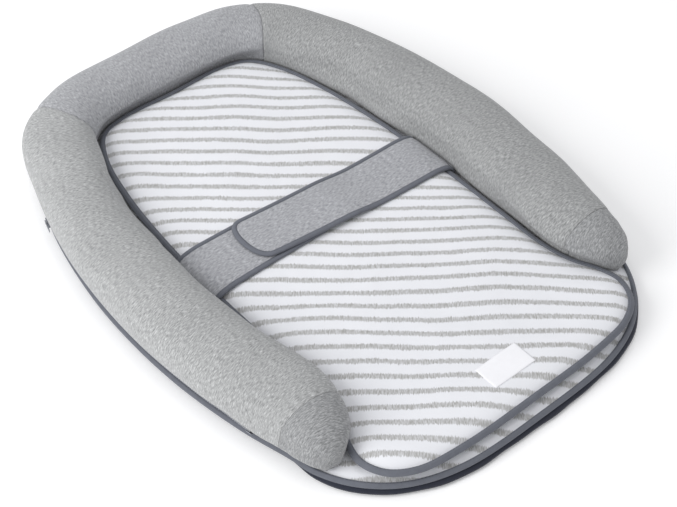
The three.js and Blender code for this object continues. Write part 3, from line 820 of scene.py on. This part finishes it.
def flank_block(name, from_y, to_y, low, high, near, far, material, bevel=0.5):
    """A small rounded block that follows the flank."""
    ys = np.linspace(from_y, to_y, 7)
    section = []
    for a in np.linspace(0, 2 * math.pi, 20, endpoint=False):
        c, s = (math.copysign(abs(part) ** bevel, part) / 2 for part in (math.cos(a), math.sin(a)))
        section.append(((low + high) / 2 + (high - low) * c, (near + far) / 2 + (far - near) * s))
    points = np.stack([flank(ys, z, off) for z, off in section], 1)
    step = unit((points[1] - points[0]).mean(0))
    ends = [points[k].mean(0) + (points[k] - points[k].mean(0)) * scale + step * push
            for k, scale, push in ((0, 0.0, -0.4), (0, 0.8, -0.35), (-1, 0.8, 0.35), (-1, 0.0, 0.4))]
    return closed(name, np.concatenate([ends[:2], points, ends[2:]]), material)


stop = flank_block("zip_stop", ZIP_STOP - 4.6, ZIP_STOP + 3.0, 17.9, 22.1, 2.0, 4.1, METAL)
finish_piece(stop, "base", ["zip_end_stop"])

for node in ("zip_slider", "zip_pull"):
    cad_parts[node].data.materials.clear()
    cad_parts[node].data.materials.append(METAL)

# ---------- mat ----------


def mat_wave(ring):
    """Slow unevenness of the mat's padding."""
    x, y = ring[:, 0], ring[:, 1]
    quiet = 0.2 + 0.8 * smooth(np.abs(y + 4), 50, 110)  # flat under the belly band
    slow = (0.35 * np.sin(x / 41 + y / 63 + 0.5) + 0.3 * np.sin(x / 27 - y / 35)
            + 0.2 * np.sin(x / 15 + y / 19 + 2))
    foot = 0.8 * np.exp(-(((x - 120) / 45) ** 2) - ((y + 270) / 30) ** 2) * np.sin((x + y) / 11)
    return quiet * slow - 0.1 + foot


def mat_height(r):
    return 23.6 + 7.3 * (1 - math.exp(-max(0, r - 7.0) / 8.5))


mat_insets = [4, 6, 8, 9, 10, 11, 12, 13, 14.2, 15.5, 17, 19, 21, 23.5, 26, 29, 32]
mat_cover = cover_grid(mat_loop, MAT_SPINE, mat_insets, mat_height, 1.0, mat_wave, 30)
mat_top = closed("mat_top_cloth", mat_cover, STRIPED)
finish_piece(mat_top, "mat", ["mat_top"])

mat_pad = closed("mat_padding", plate_grid(mat_loop, MAT_SPINE, 15.5, 18.6, 25.4, 2.4), FILLING)
finish_piece(mat_pad, "mat", ["mat_wadding"])


def back_height(r):
    return MAT_LOW + 1.3 + 5.0 * math.exp(-max(0, r - 6) / 5.0)


mat_back = closed("mat_back_cloth", cover_grid(mat_loop, MAT_SPINE, mat_insets, back_height, 1.0), BACKING)
finish_piece(mat_back, "mat", ["mat_backing"])

mat_section = c_section(MAT_EDGE_LOW, MAT_EDGE_TOP, 6.8, 0.9, 0.0, 0.9)
mat_edge = bound_edge("mat_edge_binding", mat_loop, mat_section, SLATE)
finish_piece(mat_edge, "mat", ["mat_binding"])

mat_stitch_line = rings([(inset_loop(mat_loop, 5.6), MAT_EDGE_TOP + 0.86)])[0]
finish_piece(stitch_line("mat_edge_stitches", mat_stitch_line, THREAD), "mat")

# the blank label follows the mat's waves
long, deep = LABEL["width"] / 2, LABEL["depth"] / 2
LU, LV = np.meshgrid(np.linspace(-long, long, 34), np.linspace(-deep, deep, 20), indexing="ij")
label_x, label_y = LABEL["x"] + LU, LABEL["y"] + LV
label_lift = mat_wave(np.column_stack([label_x.ravel(), label_y.ravel()])).reshape(LU.shape)
rim_fall = 0.25 * np.exp(-np.minimum(long - np.abs(LU), deep - np.abs(LV)) / 1.6)
label_z = 31.25 + label_lift - rim_fall + 0.12 * np.sin(LU / 9 + LV / 13)
upper_face = np.dstack([label_x, label_y, label_z])
lower_face = upper_face - (0, 0, 0.5)
label_rings = np.concatenate([upper_face, lower_face[:, ::-1]], 1)
shut_ends = [np.concatenate([lower_face[k], lower_face[k, ::-1]])[None] for k in (0, -1)]
label_rings = np.concatenate([shut_ends[0], label_rings, shut_ends[1]])
label = closed("blank_label", label_rings, LABEL_CLOTH)
finish_piece(label, "mat", ["mat_label"])

# ---------- belly band ----------


def normals(line):
    """Unit normals on the left of a polyline in the plane."""
    return leftwards(unit(np.gradient(line, axis=0)))


# the way down into the crevice, as distance from the middle and height
DIVE_FROM = 134.0
DIVE_PATH = curve([(134, 33), (142, 32.3), (149.5, 30.9), (156, 28.9), (160.8, 25.4), (163, 20.8),
                   (163.4, 16.4)])(np.linspace(0, 1, 200))
DIVE_AT = lengths(DIVE_PATH)
DIVE_LENGTH = DIVE_AT[-1]
DIVE_NORMAL = normals(DIVE_PATH)


class Strap:
    """One half of the belly band; side is +1 for the right strap."""

    def __init__(self, shape, side, climbs):
        self.shape, self.side, self.climbs = shape, side, climbs
        self.tip = shape["tip"] * side
        self.long = STRAP_ROOT_X - self.tip

    def share(self, x):
        return np.clip((STRAP_ROOT_X - x) / self.long, 0, 1)

    def middle_y(self, x):
        s = self.shape
        return s["root_y"] + (s["tip_y"] - s["root_y"]) * self.share(x) ** 2

    def half_width(self, x):
        s = self.shape
        full = s["root_half"] + (s["tip_half"] - s["root_half"]) * self.share(x)
        past = np.clip(1 - (x - self.tip) / s["turn"], 0, 1)
        return full * (1 - past**2.6) ** 0.45

    def height(self, x):
        return REST_HEIGHT + ((1 - smooth(x, 14, 66)) * (OVER_HEIGHT - REST_HEIGHT) if self.climbs else 0)

    def stations(self):
        """Distances along the strap from the crevice to the tip, close together where it turns."""
        tip_part = self.tip + 24 * (1 - np.sin(np.linspace(0, math.pi / 2, 26)))
        dive = np.linspace(DIVE_FROM + DIVE_LENGTH, DIVE_FROM, 26)
        straight = np.linspace(DIVE_FROM, self.tip + 24, 60)
        return np.concatenate([dive[:-1], straight[:-1], tip_part[:-1]])

    def edge(self, inset):
        """The long edges and the tip as one line from the root's head corner to its foot corner."""
        x = self.stations()
        y, half = self.middle_y(x), self.half_width(x)
        line = np.concatenate([np.column_stack([x, y + half]), np.column_stack([x, y - half])[::-1]])
        return line + normals(line) * inset

    def at(self, x, y, lift):
        """Points in the frame for distances x along the strap: it turns down into the crevice at its end."""
        down = np.clip(x - DIVE_FROM, 0, DIVE_LENGTH)
        across, z = (np.interp(down, DIVE_AT, DIVE_PATH[:, k])
                     + np.interp(down, DIVE_AT, DIVE_NORMAL[:, k]) * lift for k in (0, 1))
        turned = x > DIVE_FROM
        return np.stack([np.where(turned, across, x) * self.side, y,
                         np.where(turned, z, self.height(x) + lift)], -1)


def strap_layer(name, strap, low, high, crown):
    """A flat cloth layer: rows from edge to edge, crowned between the bindings."""
    edge = strap.edge(LAYER_INSET)
    half = len(edge) // 2
    head, foot = edge[:half], edge[::-1][:half]
    across = np.linspace(0, 1, 25)
    x = head[:, None, 0] + (foot[:, None, 0] - head[:, None, 0]) * across
    y = head[:, None, 1] + (foot[:, None, 1] - head[:, None, 1]) * across
    rim = np.minimum(across, 1 - across) * np.abs(head[:, 1] - foot[:, 1])[:, None]
    rim = np.minimum(rim, np.maximum(x - (strap.tip + LAYER_INSET), 0))
    ripple = 0.10 * np.sin(x / 6.3 + 1.0) * np.sin(y / 8.1) + 0.12 * np.sin(x / 23 + y / 17)
    rise = crown * (1 - np.exp(-rim / 5.0)) + ripple * (1 - np.exp(-rim / 6.0))
    upper = strap.at(x, y, high + rise if crown > 0 else np.full_like(x, high))
    lower = strap.at(x, y, np.full_like(x, low) if crown > 0 else low + rise)
    upper, lower, x, y = (np.concatenate([part[:1], part, part[-1:]]) for part in (upper, lower, x, y))
    lower[[0, -1]] = upper[[0, -1]]  # shuts both ends
    points = np.concatenate([upper, lower[:, ::-1]], 1)
    u = np.broadcast_to(lengths(np.column_stack([x[:, 12], y[:, 12]]))[:, None], (len(x), 51))
    v = np.concatenate([y, y[:, ::-1], y[:, :1]], 1)
    return grid(name, points, MELANGE_STRAP, False, True, uv=np.dstack([v, u]) * MM, merge=True)


def strap_binding(name, strap):
    """Tape folded round both long edges and the free end."""
    cover, half = 5.8, STRAP_HALF
    section = [(cover, half - 0.2), (cover * 0.8, half + 0.25), (cover * 0.4, half + 0.25),
               (1.3, half - 0.1), (0.35, half * 0.62), (0, 0), (0.35, -half * 0.62), (1.3, -half + 0.1),
               (cover * 0.4, -half), (cover, -half + 0.1), (cover, -half + 0.7), (1.6, -0.9), (1.2, 0),
               (1.6, 0.9), (cover, half - 0.8)]
    rows = []
    for inset, lift in section:
        line = strap.edge(inset)
        rows.append(strap.at(line[:, 0], line[:, 1], lift))
    points = np.stack(rows, 1)
    uv = uv_grid(lengths(points[:, 0]), lengths(np.array(section + section[:1])))
    return grid(name, points, SLATE, False, True, uv=uv)


def strap_root(name, strap):
    """The fixed end: cloth that comes up the crevice from the base to the strap."""
    profile = curve([(165.3, 15.7), (165.5, 18), (165.5, 20.5), (165.4, 23)])(np.linspace(0, 1, 14))
    ring = np.concatenate([profile, (profile - normals(profile))[::-1]])
    half = strap.shape["root_half"] - 0.6
    y = np.linspace(-half, half, 22) + strap.shape["root_y"]
    points = np.array([[(x * strap.side, row, z) for x, z in ring] for row in y])
    return grid(name, points, MELANGE_STRAP, False, True, uv=uv_grid(y, lengths(np.vstack([ring, ring[:1]]))))


def patch_plate(name, low, high, material):
    """A rounded hook or loop patch lying on one face of a strap."""
    angles = np.linspace(0, 2 * math.pi, 64, endpoint=False)
    c, s = np.cos(angles), np.sin(angles)
    outline = np.column_stack([np.sign(part) * np.abs(part) ** 0.28 * side / 2
                               for part, side in ((c, PATCH["width"]), (s, PATCH["depth"]))])
    half = [(0.02, high), (0.5, high), (0.9, high), (0.985, high - 0.1), (1.0, (low + high) / 2),
            (0.985, low + 0.1), (0.9, low), (0.5, low), (0.02, low)]
    layers = rings([(outline * scale + (PATCH["x"], 0), z) for scale, z in half])
    return grid(name, layers, material, False, True)


for word, shape, side, climbs in (("right", UPPER_STRAP, 1, True), ("left", LOWER_STRAP, -1, False)):
    strap = Strap(shape, side, climbs)
    body = f"strap_{word}"
    crossing = (side * 0.1590, 0, 0.0292), (side * 0.1495, 0, 0.0292)
    face = strap_layer(f"strap_{word}_face", strap, 0.15, 1.2, 0.75)
    lining = strap_layer(f"strap_{word}_lining", strap, -1.2, -0.15, -0.35)
    binding = strap_binding(f"strap_{word}_edge", strap)
    line = strap.edge(4.5)
    thread = stitch_line(f"strap_{word}_stitches", strap.at(line[:, 0], line[:, 1], STRAP_HALF + 0.28),
                         THREAD, 3.2, 2.2, 0.3)
    root = strap_root(f"strap_{word}_root_cloth", strap)
    for made, slot, stands_for in ((face, "jersey_melange", [f"strap_{word}_cover"]),
                                   (lining, "jersey_melange", [f"strap_{word}_backing"]),
                                   (binding, "binding_slate", [f"strap_{word}_binding"]),
                                   (thread, "binding_slate", [])):
        finish_piece(made, body, stands_for, crossing)
    finish_piece(root, "base", [f"strap_{word}_root"])

hook = patch_plate("strap_right_hooks", OVER_HEIGHT - 2.1, OVER_HEIGHT - 1.3, HOOKS)
finish_piece(hook, "strap_right", ["strap_right_hook_patch"])
loop = patch_plate("strap_left_loops", REST_HEIGHT + 1.5, REST_HEIGHT + 2.33, LOOPS)
finish_piece(loop, "strap_left", ["strap_left_loop_patch"])

# ---------- floor, light and camera ----------
floor_shade = Shade("studio_floor", Roughness=0.9, Specular_IOR_Level=0.1, Emission_Color=(1, 1, 1, 1),
                    Emission_Strength=0.13)
paper = floor_shade.noise(floor_shade.stretch(floor_shade.place("object"), 3, 3, 3), 1.0, 0.5, 1.0)
floor_material = floor_shade.finish(floor_shade.ramp(paper, (0.3, grey(246)), (0.7, grey(249))))
floor_lines = np.linspace(-4000, 4000, 9)
floor = grid("floor", np.array([[(x, y, -0.6) for y in floor_lines] for x in floor_lines]), floor_material)


def softbox(name, place, side, power):
    """A square area light that shines on the origin."""
    lamp = bpy.data.lights.new(name, "AREA")
    lamp.shape, lamp.size, lamp.size_y, lamp.energy = "RECTANGLE", side, side, power
    thing = bpy.data.objects.new(name, lamp)
    thing.location = place
    thing.rotation_euler = (-Vector(place)).to_track_quat("-Z", "Y").to_euler()
    bpy.context.scene.collection.objects.link(thing)


softbox("key_softbox", **KEY_LIGHT)
softbox("top_softbox", **TOP_LIGHT)

world = bpy.data.worlds.new("studio")
world.use_nodes = True
world.node_tree.nodes["Background"].inputs["Color"].default_value = WORLD_COLOUR
world.node_tree.nodes["Background"].inputs["Strength"].default_value = WORLD_STRENGTH
bpy.context.scene.world = world

camera_data = bpy.data.cameras.new("camera")
camera_data.sensor_width, camera_data.lens = 36, LENS
camera = bpy.data.objects.new("camera", camera_data)
columns = (CAMERA_RIGHT, CAMERA_UP, CAMERA_BACK, CAMERA_PLACE)
camera.matrix_world = Matrix([[column[k] for column in columns] for k in range(3)] + [[0, 0, 0, 1]])
bpy.context.scene.collection.objects.link(camera)
bpy.context.scene.camera = camera
bpy.context.scene.view_settings.view_transform = "Standard"
